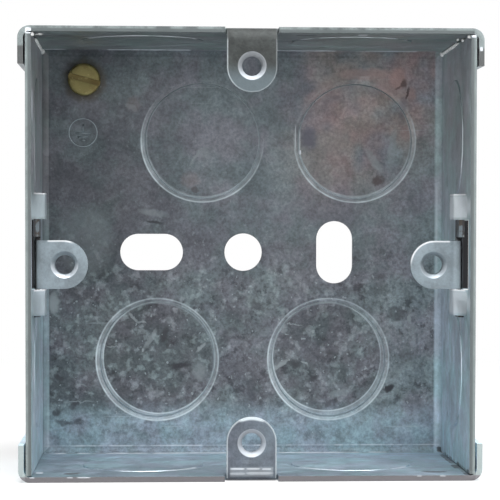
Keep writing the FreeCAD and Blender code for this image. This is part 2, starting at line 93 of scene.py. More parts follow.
EARTH_SCREW = Vector((-27.8, -2.3, 30.0))
EARTH_MARK = Vector((-28.1, BASE_FACE, 20.9))
EARTH_SLOT = (8.0, 1.6, 0.9)
EARTH_SLOT_ANGLE = 15


# Node trees

class Painter:
    """Adds nodes to one tree. Values may be numbers, colours or other nodes' sockets."""

    def __init__(self, tree):
        self.tree = tree
        tree.nodes.clear()

    def node(self, kind, wires=None, **settings):
        made = self.tree.nodes.new("ShaderNode" + kind)
        for word, value in settings.items():
            setattr(made, word, value)
        for word, value in (wires or {}).items():
            self.wire(made.inputs[word], value)
        return made

    def wire(self, socket, value):
        if isinstance(value, bpy.types.NodeSocket):
            self.tree.links.new(value, socket)
        else:
            socket.default_value = value

    def maths(self, operation, *values):
        made = self.node("Math", operation=operation)
        for socket, value in zip(made.inputs, values):
            self.wire(socket, value)
        return made.outputs[0]

    def vector_maths(self, operation, *values):
        made = self.node("VectorMath", dict(enumerate(values)), operation=operation)
        is_number = operation in ("LENGTH", "DISTANCE", "DOT_PRODUCT")
        return made.outputs["Value" if is_number else 0]

    def product(self, *values):
        result = values[0]
        for value in values[1:]:
            result = self.maths("MULTIPLY", result, value)
        return result

    def either(self, *values):
        result = values[0]
        for value in values[1:]:
            result = self.maths("MAXIMUM", result, value)
        return result

    def mix(self, factor, first, second, blend="MIX"):
        made = self.node("Mix", data_type="RGBA", blend_type=blend)
        for index, value in ((0, factor), (6, first), (7, second)):
            self.wire(made.inputs[index], value)
        return made.outputs[2]

    def between(self, factor, first, second):
        """Number that goes from first to second as the factor goes from 0 to 1."""
        made = self.node("Mix", {0: factor, 2: first, 3: second}, data_type="FLOAT")
        return made.outputs[0]

    def spread(self, value, low, high, start=0.0, end=1.0):
        """Value from low to high, turned smoothly to start to end; low may be above high."""
        made = self.node("MapRange", interpolation_type="SMOOTHSTEP")
        for index, part in enumerate((value, low, high, start, end)):
            self.wire(made.inputs[index], part)
        return made.outputs[0]

    def noise(self, vector, scale, detail=3.0, roughness=0.5, seed=0.0):
        """Noise of the moved place, so that each seed gives its own pattern."""
        moved = self.vector_maths("ADD", vector, (seed * 7.3, seed * 3.1, seed * 5.7))
        return self.node("TexNoise", {"Vector": moved, "Scale": scale, "Detail": detail,
                                      "Roughness": roughness})

    def patch(self, vector, scale, low, high, **more):
        """Noise, cut to soft patches from 0 to 1."""
        return self.spread(self.noise(vector, scale, **more).outputs[0], low, high)

    def band(self, value, middle, half):
        """1 where the value is the middle, and 0 from half away."""
        away = self.maths("ABSOLUTE", self.maths("SUBTRACT", value, middle))
        return self.spread(away, 0.0, half, 1.0, 0.0)

    def joined(self, across, depth, up):
        return self.node("CombineXYZ", {0: across, 1: depth, 2: up}).outputs[0]

    def scaled(self, colour, factor):
        """Colour made lighter or darker by a factor."""
        grey = self.node("CombineColor", {0: factor, 1: factor, 2: factor}).outputs[0]
        return self.mix(1.0, colour, grey, "MULTIPLY")

    def stretch(self, vector, scale, turn=(0.0, 0.0, 0.0)):
        return self.node("Mapping", {"Vector": vector, "Scale": scale, "Rotation": turn},
                         vector_type="POINT").outputs[0]


def new_material(name):
    material = bpy.data.materials.new(name)
    material.use_nodes = True
    painter = Painter(material.node_tree)
    shader = painter.node("BsdfPrincipled")
    output = painter.node("OutputMaterial")
    painter.wire(output.inputs["Surface"], shader.outputs[0])
    coordinates = painter.node("TexCoord").outputs["Object"]
    place = painter.stretch(coordinates, (1 / MM,) * 3)
    return material, painter, shader, place


def grain(painter, height, depth):
    """Bump whose full height is depth, in millimetres."""
    return painter.node("Bump", {"Height": height, "Distance": depth * MM,
                                 "Strength": 1.0}).outputs[0]


def surface(painter, shader, colour, roughness, height, depth):
    painter.wire(shader.inputs["Base Color"], colour)
    painter.wire(shader.inputs["Roughness"], roughness)
    painter.wire(shader.inputs["Normal"], grain(painter, height, depth))


def spangle(painter, place, warp, size):
    """Zinc crystals: values of each cell, with leaf-like edges."""
    shift = painter.vector_maths("MULTIPLY_ADD", warp, (size * 0.9,) * 3, place)
    cells = painter.node("TexVoronoi", {"Vector": shift, "Scale": 1 / size})
    return painter.node("SeparateColor", {0: cells.outputs["Color"]}).outputs


def scratches(painter, place, turn, seed, share):
    """Long thin scores that run along one direction."""
    lines = painter.stretch(place, (0.05, 2.2, 2.2), turn)
    found = painter.noise(lines, 1.0, detail=1.0, seed=seed).outputs[0]
    return painter.spread(found, share, share + 0.05)


# Colours

ZINC = (0.255, 0.335, 0.385, 1)
# Wall colours hold painted light from above over clean zinc: the bottom wall and the side walls'
# lower parts painted lit, the top wall and the side walls' upper parts painted in shade
LEFT_UPPER_SHADED = (0.300, 0.322, 0.332, 1)
RIGHT_UPPER_SHADED = (0.345, 0.392, 0.408, 1)
SIDE_LOWER_LIT = (0.45, 0.555, 0.61, 1)
TOP_WALL_SHADED = (0.190, 0.222, 0.222, 1)
BOTTOM_WALL_LIT = (0.256, 0.328, 0.376, 1)
MID_GREY = (0.143, 0.159, 0.174, 1)
SOILED = (0.108, 0.122, 0.137, 1)
GREEN_TINT = (0.94, 1.02, 1.005, 1)
PURPLE_TINT = (1.035, 0.975, 1.02, 1)
BLOTCH = (0.036, 0.039, 0.046, 1)
FLECK = (0.38, 0.44, 0.47, 1)
WARM_GREY = (0.240, 0.185, 0.175, 1)
PINK = (0.310, 0.215, 0.205, 1)
DARK_BROWN = (0.050, 0.034, 0.034, 1)
VIOLET_GREY = (0.095, 0.095, 0.125, 1)
LIGHT_MARK = (0.235, 0.270, 0.285, 1)
SCREW_SHADOW = (0.075, 0.066, 0.048, 1)
RING = (0.40, 0.475, 0.515, 1)
RING_LINE = (0.54, 0.62, 0.66, 1)
LUG_EDGE_HIGHLIGHT = (0.60, 0.66, 0.69, 1)
# Painted highlight on edges and straps
EDGE_HIGHLIGHT = (0.92, 0.93, 0.95, 1)
STRAP = (0.48, 0.55, 0.59, 1)
TARNISH = (0.040, 0.0445, 0.044, 1)
LUG_GREY = (0.082, 0.094, 0.116, 1)
# Rim's outer side: worn light zinc with painted highlight
RIM_LIGHT = (0.205, 0.238, 0.240, 1)
RIM_DARK = (0.098, 0.114, 0.117, 1)
RIM_BROWN = (0.130, 0.126, 0.134, 1)
# Light zinc of the lugs' lips, also used for painted highlight lines
LIP_AND_HIGHLIGHT = (0.66, 0.70, 0.75, 1)
EAR_END_SHADE = (0.050, 0.046, 0.047, 1)
# Painted shade in the windows of the side walls
WINDOW_SHADE = (0.006, 0.006, 0.008, 1)

# Rings of the base's knockouts: centre, shift of the inner line, its radius, the side
# that is rubbed bright and takes a painted highlight, how bright the dull and the lit side are,
# and the inner line
RINGS = [
    ((-15.1, -18.9), (0.33, 0.33), 9.85, (-0.6, -0.8), 0.55, 1.0, 0.9),
    ((15.1, -18.9), (-0.30, 0.45), 9.60, (-0.3, -0.6), 0.50, 0.95, 0.9),
    ((-7.2, 19.55), (0.15, 0.15), 9.95, (-0.35, -0.9), 0.0, 0.85, 0.3),
    ((19.7, 19.55), (-0.1, 0.2), 9.90, (0.25, -0.95), 0.05, 0.85, 0.45),
]
RING_OUTER = 10.72
KNOCKOUT_RADIUS = 9.95
WALL_RING = 10.35

# Marks of use on the base: across, up, half length, half width, clockwise turn, strength
DARK_MARKS = [
    (25.9, -24.0, 1.2, 0.65, -35, 1.0), (27.2, -10.8, 1.8, 1.5, 0, 0.6),
    (9.4, -19.8, 1.4, 0.9, 10, 0.7), (12.6, -22.3, 1.3, 0.5, -25, 0.7),
    (15.4, -17.7, 1.7, 0.5, 8, 0.55), (23.0, -22.8, 0.6, 1.1, 0, 0.5),
    (14.1, -27.3, 1.8, 0.8, -15, 0.5), (-11.1, -20.0, 2.0, 0.75, -15, 1.0),
    (-13.9, -14.6, 1.8, 0.75, -62, 0.8), (-32.4, -22.1, 1.1, 0.6, 25, 0.7),
    (-32.8, -28.3, 0.8, 0.7, 0, 0.7), (-31.4, -30.0, 1.9, 0.55, 5, 0.7),
    (-29.0, -29.8, 1.0, 0.7, 0, 0.75), (-29.6, -26.9, 1.2, 0.4, -40, 0.6),
    # The dark mark at (-15.6, 5.35) is a painted shadow under the raised flaw of the light mark at
    # (-15.8, 6.85)
    (-15.6, 5.35, 1.7, 0.32, 6, 0.9), (-2.5, -14.5, 2.2, 1.2, -30, 0.5),
    (2.5, -9.5, 1.6, 0.7, 20, 0.5), (-16.5, -29.8, 1.0, 0.6, 0, 0.45),
    (24.2, 15.6, 1.4, 0.6, 30, 0.25),
]
LIGHT_MARKS = [
    (-15.8, 6.85, 2.8, 0.75, 8, 0.42), (-28.0, 2.0, 5.5, 7.0, 0, 0.28),
    (-33.2, -9.0, 1.1, 2.2, 0, 1.0), (-19.3, -11.5, 1.5, 0.28, 48, 0.7),
    (-17.9, -12.4, 1.0, 0.25, 0, 0.7), (-16.3, -15.3, 2.2, 0.5, -57, 0.6),
    (-17.5, -17.2, 0.3, 0.5, 0, 1.0), (-7.4, -16.7, 1.4, 0.3, -45, 0.8),
    (-7.7, -21.1, 1.3, 1.7, 0, 0.5), (-22.8, -16.5, 1.7, 0.14, 0, 0.6),
    (-28.6, -26.3, 3.0, 0.14, 0, 0.6), (-28.5, -23.4, 0.9, 0.18, 0, 0.6),
    (6.3, -20.0, 2.5, 0.4, -32, 0.8), (17.1, -24.9, 2.2, 0.7, -12, 0.5),
    (9.1, -12.8, 1.7, 0.13, 0, 0.8), (12.4, -14.2, 0.3, 0.3, 0, 0.8),
    (5.0, -21.6, 0.5, 0.9, 25, 0.8), (10.9, -19.6, 0.9, 0.25, 30, 0.9),
    (26.3, 18.1, 0.8, 4.2, 8, 0.5), (23.2, 16.0, 0.9, 2.6, -35, 0.55),
    (-8.4, 16.6, 1.9, 0.35, -55, 0.5), (-7.0, 17.4, 1.2, 1.0, -45, 0.3),
    (29.5, -11.8, 0.35, 0.7, -20, 0.9), (27.0, -12.6, 1.4, 0.3, 5, 0.5),
    (32.4, -34.0, 1.2, 0.2, -12, 0.6), (-2.0, -22.0, 0.25, 0.5, 0, 0.6),
    (15.5, 20.0, 3.6, 3.2, 0, 0.12), (-19.8, 25.4, 1.4, 0.5, 30, 0.3),
    (-21.5, 24.0, 0.6, 0.4, 0, 0.25),
]
WARM_MARKS = [
    (27.2, 30.4, 1.9, 2.2, 10, 0.95), (22.0, 31.3, 5.5, 1.2, 0, 0.5),
    (26.0, 29.0, 4.5, 2.0, 35, 0.4),
    (29.7, 28.0, 0.8, 1.4, 0, 0.5), (-19.2, 26.0, 1.4, 1.6, 0, 0.15),
    (-9.3, 12.6, 1.8, 1.6, 0, 0.15), (28.7, 21.0, 1.2, 1.6, 0, 0.4),
    (13.5, 28.2, 3.5, 1.2, -35, 0.12),
]
BROWN_MARKS = [
    (28.3, 29.8, 0.6, 0.8, 20, 0.75), (28.9, 28.1, 0.28, 1.3, 15, 0.8),
    (27.4, 29.0, 0.9, 0.25, -30, 0.6),
    (23.8, 12.7, 1.2, 1.0, 0, 0.75), (18.6, 14.8, 0.8, 3.0, -25, 0.3),
    (-8.5, 11.0, 0.8, 0.5, 0, 0.5),
]
# Strokes on walls and base: centre, half lengths along X, Y and Z, strength
# Bright strokes: light marks of wear, and painted highlights on the mouth's corners and the bottom
# lug's bend
BRIGHT_STROKES = [
    ((-35.1, -31.4, 24.0), (0.6, 1.3, 2.7), 1.0), ((-35.1, -30.2, -18.4), (0.6, 1.3, 2.1), 0.7),
    ((-35.1, -27.8, -26.8), (0.6, 1.2, 1.2), 0.6), ((35.1, -23.6, -27.0), (0.6, 0.6, 1.4), 0.4),
    ((35.1, -17.2, -30.7), (0.6, 0.7, 1.0), 0.4), ((35.1, -19.5, -11.6), (0.6, 0.8, 1.4), 0.5),
    ((35.1, -24.5, -11.3), (0.6, 0.8, 1.3), 0.5), ((-34.15, -29.3, -35.4), (0.6, 0.9, 0.6), 1.0),
    ((9.2, -0.9, 20.1), (0.13, 0.8, 2.2), 0.3), ((9.95, -0.9, 19.6), (0.12, 0.8, 2.0), 0.32),
    ((10.0, -0.9, 17.6), (0.2, 0.8, 0.4), 0.8),
    ((-2.25, -34.7, -34.25), (1.15, 0.6, 0.15), 0.6),
    ((0.25, -34.7, -34.25), (1.1, 0.6, 0.14), 0.45),
    ((2.4, -34.7, -34.3), (0.75, 0.6, 0.14), 0.5), ((-2.2, -34.7, -35.05), (1.3, 0.6, 0.22), 0.35),
    ((1.25, -34.7, -35.0), (2.2, 0.6, 0.24), 0.4),
    ((-26.8, -35.0, -35.5), (1.1, 0.3, 0.1), 0.55), ((-29.0, -35.0, -35.5), (0.5, 0.3, 0.1), 0.45),
    ((-35.0, -35.0, -35.5), (0.4, 0.3, 0.11), 0.5), ((30.8, -35.0, -35.5), (0.5, 0.3, 0.1), 0.4),
    ((27.0, -35.0, -35.5), (0.4, 0.3, 0.1), 0.35), ((-35.5, -35.0, 35.5), (0.5, 0.4, 0.5), 1.0),
    ((35.5, -35.0, 35.1), (0.4, 0.4, 0.3), 0.9), ((36.7, -35.0, 33.0), (0.25, 0.5, 0.35), 0.8),
    ((18.0, -31.5, 35.4), (0.8, 1.2, 0.6), 0.6),
]
# Dark strokes: soil marks, and painted shade along the bottom right corner seam
DARK_STROKES = [
    ((-29.0, -30.6, -35.4), (1.5, 1.2, 0.6), 0.85), ((30.0, -30.3, -35.4), (2.2, 0.9, 0.6), 0.9),
    ((34.9, -1.4, -34.9), (0.6, 0.9, 0.5), 0.85), ((34.7, -13.0, -35.3), (0.45, 8.0, 0.6), 0.7),
    ((34.6, -23.5, -35.3), (0.7, 2.8, 0.6), 0.8), ((35.2, -33.5, -35.3), (0.8, 2.0, 0.6), 0.75),
    ((35.0, -28.5, -35.3), (0.5, 3.0, 0.5), 0.5), ((9.0, -30.5, 35.4), (1.6, 1.4, 0.6), 0.7),
    ((-0.8, -34.7, -33.1), (0.9, 0.6, 0.35), 0.5),
]
# Spans of the painted highlight lines at the walls' feet: middle and half length along X
TOP_FOOT = [(-33.0, 1.9), (-16.5, 7.2), (11.0, 5.2), (26.0, 4.5)]
BOTTOM_FOOT = [(-32.1, 0.9), (-27.9, 1.0), (-20.4, 3.5), (-9.4, 6.4), (13.3, 7.1), (23.8, 1.5)]
VIOLET_MARKS = [(11.6, 20.1, 1.7, 2.3, 0, 0.8), (28.2, 25.5, 0.8, 2.4, 10, 0.35)]


def sheet_places(painter, place):
    """Distances and noises that the layers of the sheet share."""
    at = SimpleNamespace(place=place)
    at.across, at.depth, at.up = painter.node("SeparateXYZ", {0: place}).outputs
    at.side = painter.maths("ABSOLUTE", at.across)
    at.level = painter.maths("ABSOLUTE", at.up)
    at.folded = painter.joined(at.side, at.depth, at.level)
    at.coarse = painter.noise(place, 0.085, detail=2.0, seed=2.0).outputs[0]
    at.middle = painter.noise(place, 0.42, detail=4.0, roughness=0.62, seed=5.0).outputs[0]
    at.fine = painter.noise(place, 1.9, detail=3.0, roughness=0.7, seed=9.0).outputs[0]
    wide = painter.noise(place, 0.15, detail=2.0, roughness=0.6, seed=12.0)
    at.tint, at.warp = wide.outputs
    at.worn = painter.patch(place, 0.4, 0.40, 0.6, seed=61.0, detail=3.0)
    at.low = painter.spread(at.up, 12.0, -12.0)
    at.on_base = painter.product(painter.spread(at.depth, WALL_FOOT - 0.8, WALL_FOOT + 0.6),
                                 painter.spread(at.across, -34.15, -33.9),
                                 painter.spread(at.across, 34.1, 33.7))
    at.on_cap = painter.spread(painter.maths("SUBTRACT", at.level, at.side), 0.1, 0.3)
    at.inside = painter.product(painter.spread(at.level, 35.8, 35.55),
                                painter.spread(at.side, 35.5, 35.25),
                                painter.spread(at.depth, -0.4, -0.6))
    at.on_lug = painter.product(
        painter.spread(at.depth, FIXED_LUG_DEPTH + 0.1, FIXED_LUG_DEPTH - 0.1),
        painter.spread(at.side, FIXED_LUG_HALF + 0.1, FIXED_LUG_HALF))
    at.cells = spangle(painter, place, at.warp, 6.5)
    at.small_cells = spangle(painter, place, at.warp, 2.4)
    return at


def base_tone(painter, at):
    """Soiled base: darker to the left, warm at the top right, a strip along the bottom of clean
    zinc with painted light, and painted light beside the right bend.
    """
    tone = painter.mix(painter.spread(at.coarse, 0.36, 0.64), SOILED, MID_GREY)
    tone = painter.scaled(tone, painter.product(
        painter.spread(at.across, -20.0, -8.0, 0.76, 1.0),
        painter.spread(at.across, 16.0, 30.0, 1.0, 1.42)))
    disc = painter.vector_maths("DISTANCE", at.folded, (15.1, BASE_FACE, 18.9))
    disc = painter.product(painter.spread(disc, 10.0, 9.2), at.low)
    tone = painter.scaled(tone, painter.spread(disc, 0.0, 1.0, 1.0, 0.8))
    warm = painter.product(painter.spread(at.across, 3.0, 18.0),
                           painter.spread(at.up, 4.0, 20.0),
                           painter.spread(painter.maths("SUBTRACT", at.across, at.up),
                                          16.0, 4.0, 0.35, 1.0),
                           painter.patch(at.place, 0.12, 0.34, 0.58, seed=31.0, detail=2.0))
    tone = painter.mix(painter.product(warm, 0.85), tone, WARM_GREY)
    # Painted light on the base beside the right bend, stronger lower down
    right_bend_light = painter.product(painter.spread(at.across, 31.4, 32.4),
                                 painter.spread(at.up, 16.0, -12.0, 0.1, 0.5))
    tone = painter.mix(right_bend_light, tone, LIGHT_MARK)
    low = painter.spread(at.low, 0.0, 1.0, 0.16, 1.0)
    strip = painter.spread(at.up, -25.5, -30.5)
    blotches = painter.patch(at.place, 0.34, 0.53, 0.66, seed=21.0, detail=4.0,
                             roughness=0.7)
    mottle = painter.patch(at.place, 1.15, 0.50, 0.62, seed=25.0, detail=3.0)
    blotches = painter.product(painter.either(painter.product(blotches, 0.75),
                                              painter.product(mottle, 0.36)),
                               low, painter.spread(strip, 0.0, 1.0, 1.0, 0.2))
    clouds = painter.patch(at.place, 0.17, 0.50, 0.64, seed=23.0, detail=5.0, roughness=0.68)
    clouds = painter.product(clouds, painter.spread(at.low, 0.0, 1.0, 0.22, 0.42),
                             painter.spread(strip, 0.0, 1.0, 1.0, 0.2))
    tone = painter.mix(painter.either(blotches, clouds), tone, BLOTCH)
    pale = painter.patch(at.place, 0.62, 0.52, 0.66, seed=27.0, detail=4.0)
    tone = painter.mix(painter.product(pale, low, 0.55), tone, LIGHT_MARK)
    # The strip along the bottom: clean zinc with painted light
    strip = painter.product(strip, painter.spread(at.middle, 0.3, 0.55, 0.6, 1.0), 0.74)
    return painter.mix(strip, tone, ZINC)


def wall_tone(painter, at):
    """Walls of clean zinc with painted light from above: lighter towards the bottom and near the
    base, darker towards the mouth, with painted shade on the bend at the foot of the side walls,
    deepest on the left, and streaks along each wall.
    """
    sides = painter.mix(painter.spread(at.across, -5.0, 5.0), LEFT_UPPER_SHADED, RIGHT_UPPER_SHADED)
    sides = painter.mix(painter.spread(at.up, 20.0, -22.0), sides, SIDE_LOWER_LIT)
    caps = painter.mix(painter.spread(at.up, 10.0, -10.0), TOP_WALL_SHADED, BOTTOM_WALL_LIT)
    caps = painter.scaled(caps, painter.spread(at.across, 0.0, 25.0, 1.0, 1.2))
    walls = painter.mix(at.on_cap, sides, caps)
    upright = painter.noise(painter.stretch(at.place, (1.0, 1.1, 0.06)), 1.0, seed=71.0)
    along = painter.noise(painter.stretch(at.place, (0.06, 1.1, 1.0)), 1.0, seed=73.0)
    streak = painter.between(at.on_cap, upright.outputs[0], along.outputs[0])
    walls = painter.scaled(walls, painter.spread(streak, 0.3, 0.7, 0.94, 1.07))
    left = painter.spread(at.across, 5.0, -5.0)
    # Painted light: lighter near the base, darker towards the mouth
    shade = painter.between(at.on_cap, painter.spread(left, 0.0, 1.0, 1.14, 1.2), 1.33)
    shade = painter.spread(at.depth, -3.0, -31.0, shade,
                           painter.spread(at.on_cap, 0.0, 1.0, 0.92, 0.76))
    # Painted shade on the bend at the foot of the side walls, deepest on the left
    bend = painter.product(painter.spread(at.side, 33.8, 34.0),
                           painter.spread(at.depth, -2.5, -2.1))
    shade = painter.product(shade, painter.spread(bend, 0.0, 1.0, 1.0,
                                                  painter.spread(left, 0.0, 1.0, 0.86, 0.5)))
    walls = painter.scaled(walls, shade)
    return painter.scaled(walls, painter.spread(at.coarse, 0.3, 0.6, 0.88, 1.06))


def weathered(painter, at, colour):
    """Crystals, cloudiness and faint tints over the whole sheet."""
    shade = painter.product(painter.spread(at.middle, 0.28, 0.72, 0.84, 1.18),
                            painter.spread(at.cells[0], 0.0, 1.0, 0.94, 1.07),
                            painter.spread(at.small_cells[1], 0.0, 1.0, 0.95, 1.06),
                            painter.spread(at.fine, 0.3, 0.7,
                                           painter.spread(at.on_base, 0.0, 1.0, 0.93, 0.80),
                                           painter.spread(at.on_base, 0.0, 1.0, 1.07, 1.22)))
    tint = painter.mix(painter.spread(at.tint, 0.36, 0.62), GREEN_TINT, PURPLE_TINT)
    return painter.mix(1.0, painter.scaled(colour, shade), tint, "MULTIPLY")


def oval_marks(painter, place, marks):
    """Ragged ovals on the base, each from a row of one of the lists of marks."""
    found = 0.0
    for across, up, half_long, half_wide, turn, strength in marks:
        offset = painter.vector_maths("SUBTRACT", place, (across, BASE_FACE, up))
        cosine, sine = math.cos(math.radians(turn)), math.sin(math.radians(turn))
        long_way = (cosine / half_long, 0.0, -sine / half_long)
        wide_way = (sine / half_wide, 0.0, cosine / half_wide)
        along = painter.vector_maths("DOT_PRODUCT", offset, long_way)
        aside = painter.vector_maths("DOT_PRODUCT", offset, wide_way)
        squares = painter.maths("MULTIPLY_ADD", along, along,
                                painter.maths("MULTIPLY", aside, aside))
        found = painter.either(found, painter.spread(squares, 1.3, 0.15, 0.0, strength))
    return found


def strokes(painter, at, rows, ragged):
    """Short strokes, each a blunt ellipsoid that crosses the surface, with ragged edges."""
    found = 0.0
    wander = painter.maths("MULTIPLY_ADD", at.middle, ragged, -0.5 * ragged)
    for centre, halves, strength in rows:
        offset = painter.vector_maths("SUBTRACT", at.place, centre)
        offset = painter.vector_maths("MULTIPLY", offset, tuple(1 / half for half in halves))
        blunt = painter.vector_maths("MULTIPLY", offset, offset)
        away = painter.vector_maths("LENGTH", blunt)
        away = painter.maths("ADD", away, wander)
        found = painter.either(found, painter.spread(away, 1.25, 0.5, 0.0, strength))
    return found


def marked(painter, at, colour):
    """Marks of use that the base carries, painted shade in the bottom right seam, and a painted
    shadow round the earth screw.
    """
    shift = painter.noise(at.place, 0.9, detail=3.0, roughness=0.6, seed=81.0).outputs[1]
    ragged = painter.vector_maths("MULTIPLY_ADD", shift, (1.3,) * 3, at.place)
    ragged = painter.vector_maths("SUBTRACT", ragged, (0.65,) * 3)
    # Dark strokes: soil, and painted shade in the bottom right seam
    at.soot = strokes(painter, at, DARK_STROKES, 2.4)
    colour = painter.mix(at.soot, colour, BLOTCH)
    for marks, tone in ((WARM_MARKS, PINK), (VIOLET_MARKS, VIOLET_GREY),
                        (DARK_MARKS, BLOTCH), (BROWN_MARKS, DARK_BROWN),
                        (LIGHT_MARKS, LIGHT_MARK)):
        mask = painter.product(oval_marks(painter, ragged, marks), at.on_base)
        colour = painter.mix(mask, colour, tone)
    near_mark = painter.vector_maths("DISTANCE", at.place, tuple(EARTH_MARK))
    stamped = painter.product(painter.spread(near_mark, 2.9, 2.8),
                              painter.spread(at.depth, BASE_FACE - 0.02, BASE_FACE - 0.04), 0.42)
    colour = painter.mix(stamped, colour, RING)
    # Painted shadow round the earth screw's head
    near_screw = painter.vector_maths("DISTANCE", ragged, tuple(EARTH_SCREW))
    screw_shadow = painter.product(painter.spread(near_screw, 4.6, 3.2), at.on_base, 0.75)
    colour = painter.mix(screw_shadow, colour, SCREW_SHADOW)
    here = painter.product(painter.spread(at.coarse, 0.5, 0.62), at.on_base)
    flecks = painter.product(painter.patch(at.place, 1.5, 0.70, 0.77, seed=41.0, detail=1.0),
                             painter.spread(at.low, 0.0, 1.0, 0.25, 1.0))
    scores = painter.product(here, painter.either(
        scratches(painter, at.place, (0.0, 0.25, 0.1), 51.0, 0.75),
        scratches(painter, at.place, (0.0, 1.35, 0.0), 55.0, 0.76)))
    return painter.mix(painter.product(painter.either(flecks, scores), 0.45), colour, FLECK)


def base_rings(painter, at):
    """Rubbed rings of the base's knockouts with a painted highlight on their lower side, and the
    flanks of their grooves, painted light against their shade.

    Each ring has two lines with a duller band between.
    """
    found = flanks = 0.0
    for centre, shift, inner, way, dull, bright, second in RINGS:
        offset = painter.vector_maths("SUBTRACT", at.place, (centre[0], BASE_FACE, centre[1]))
        away = painter.vector_maths("LENGTH", offset)
        near = painter.vector_maths("DISTANCE", offset, (shift[0], 0.0, shift[1]))
        facing = painter.vector_maths("DOT_PRODUCT", offset, (way[0], 0.0, way[1]))
        between = painter.product(painter.spread(away, RING_OUTER + 0.1, RING_OUTER - 0.15),
                                  painter.spread(near, inner - 0.15, inner + 0.1), 0.35)
        lines = painter.either(painter.band(away, RING_OUTER, 0.25), between,
                               painter.product(painter.band(near, inner, 0.22), second))
        found = painter.either(found, painter.product(lines, painter.spread(
            facing, -0.6 * RING_OUTER, 0.8 * RING_OUTER, dull, bright)))
        flanks = painter.either(flanks, painter.band(away, KNOCKOUT_RADIUS + 0.06, 0.24))
    found = painter.product(found, at.on_base, painter.spread(at.worn, 0.0, 1.0, 0.66, 1.0))
    return found, painter.product(flanks, at.on_base)


def wall_rings(painter, at):
    """Painted highlights on the front arcs of the walls' knockouts, broken in patches."""
    found = []
    for centre, half, start in WALL_KNOCKOUTS:
        away = painter.vector_maths("DISTANCE", at.folded, centre)
        found.append(painter.product(painter.band(away, WALL_RING, half),
                                     painter.spread(at.depth, centre[1] - start,
                                                    centre[1] - start - 1.2)))
    broken = painter.patch(at.place, 0.22, 0.34, 0.5, seed=91.0, detail=3.0)
    return painter.product(painter.either(*found), broken, 0.8)


def fold_lines(painter, at):
    """Painted highlights along the folds, over the folding tool's bright lines, broken in patches,
    and light bands painted on the right bend and wall.
    """
    spans = 0.0
    for rows, start, end in ((TOP_FOOT, -10.0, 10.0), (BOTTOM_FOOT, 10.0, -10.0)):
        here = 0.25
        for middle, half in rows:
            away = painter.maths("ABSOLUTE", painter.maths("SUBTRACT", at.across, middle))
            here = painter.either(here, painter.spread(away, half + 0.6, half - 0.4))
        spans = painter.either(spans, painter.product(here, painter.spread(at.up, start, end)))
    foot = painter.product(painter.band(at.depth, WALL_FOOT + 0.3, 0.45), at.on_cap, spans,
                           painter.spread(at.worn, 0.0, 1.0, 0.7, 1.0))
    rest = painter.product(painter.band(at.up, -(INNER_Z - BEND_INSIDE), 0.2),
                           painter.spread(at.depth, WALL_FOOT, BASE_FACE - 0.1),
                           painter.spread(at.worn, 0.0, 1.0, 0.2, 0.6))
    beside = painter.product(painter.either(painter.band(at.across, 34.2, 0.35),
                                            painter.band(at.depth, -6.5, 2.6)),
                             painter.spread(at.across, 33.6, 33.9),
                             painter.spread(at.up, 12.3, 11.3),
                             painter.spread(at.up, -24.0, 2.0, 0.02, 0.36))
    beside = painter.product(beside, painter.maths("SUBTRACT", 1.0, at.on_cap))
    return painter.either(foot, rest, beside)


def lug_faces(painter, at, colour):
    """Front faces of the fixed lugs: dull metal, a painted highlight along the outline, tip and
    foot, and a lip of light zinc painted brighter below the hole as highlight.
    """
    at_top = painter.spread(at.up, -5.0, 5.0)
    front = painter.product(at.on_lug, painter.spread(at.level, 36.25, 36.2))
    face = painter.mix(at_top, LUG_GREY, TARNISH)
    face = painter.scaled(face, painter.product(
        painter.spread(at.middle, 0.3, 0.7, 0.75, 1.3),
        painter.spread(at.fine, 0.3, 0.7, 0.85, 1.18)))
    cloudy = painter.product(painter.spread(at.tint, 0.35, 0.65),
                             painter.spread(at.across, -4.0, 4.0, 0.05, 0.3))
    rubbed = painter.between(at_top, cloudy, painter.spread(at.up, 31.0, 27.5, 0.0, 0.28))
    face = painter.mix(rubbed, face, ZINC)
    colour = painter.mix(front, colour, face)
    hole = painter.vector_maths("LENGTH", painter.joined(
        at.across, 0.0, painter.maths("SUBTRACT", at.level, FIXING_OUT)))
    under_hole = painter.maths("SUBTRACT", at.up, painter.spread(
        at_top, 0.0, 1.0, -FIXING_OUT, FIXING_OUT))
    # Lip: light zinc, painted brighter below the hole as highlight
    lip = painter.product(painter.spread(hole, 2.34, 2.2), painter.spread(at.depth, -32.4, -32.8),
                          painter.spread(under_hole, 0.1, -1.8, 0.34, 0.56))
    beyond = painter.maths("MAXIMUM", painter.maths("SUBTRACT", FIXED_LUG_TIP, at.level), 0.0)
    out = painter.vector_maths("LENGTH", painter.joined(at.across, 0.0, beyond))
    # Painted highlight along the outline, the lower lug's tip and the foot
    edge = painter.product(painter.spread(out, 3.74, 3.9), front,
                           painter.spread(at.depth, -33.7, -33.9))
    left = painter.product(painter.spread(at.across, -2.0, -3.4, 0.18, 0.4),
                           painter.spread(at.up, 34.8, 34.0, 0.1, 1.0))
    edge = painter.product(edge, painter.between(at_top, 0.5, left))
    tip = painter.product(painter.spread(out, 3.35, 3.75), painter.spread(at.level, 26.9, 26.4),
                          painter.maths("SUBTRACT", 1.0, at_top), front, 0.85)
    foot = painter.product(painter.spread(at.up, -33.8, -34.2), front,
                           painter.spread(at.up, -35.7, -35.4),
                           painter.spread(at.side, 3.6, 3.3), 0.22)
    colour = painter.mix(painter.either(edge, tip, foot), colour, LUG_EDGE_HIGHLIGHT)
    return painter.mix(lip, colour, LIP_AND_HIGHLIGHT)


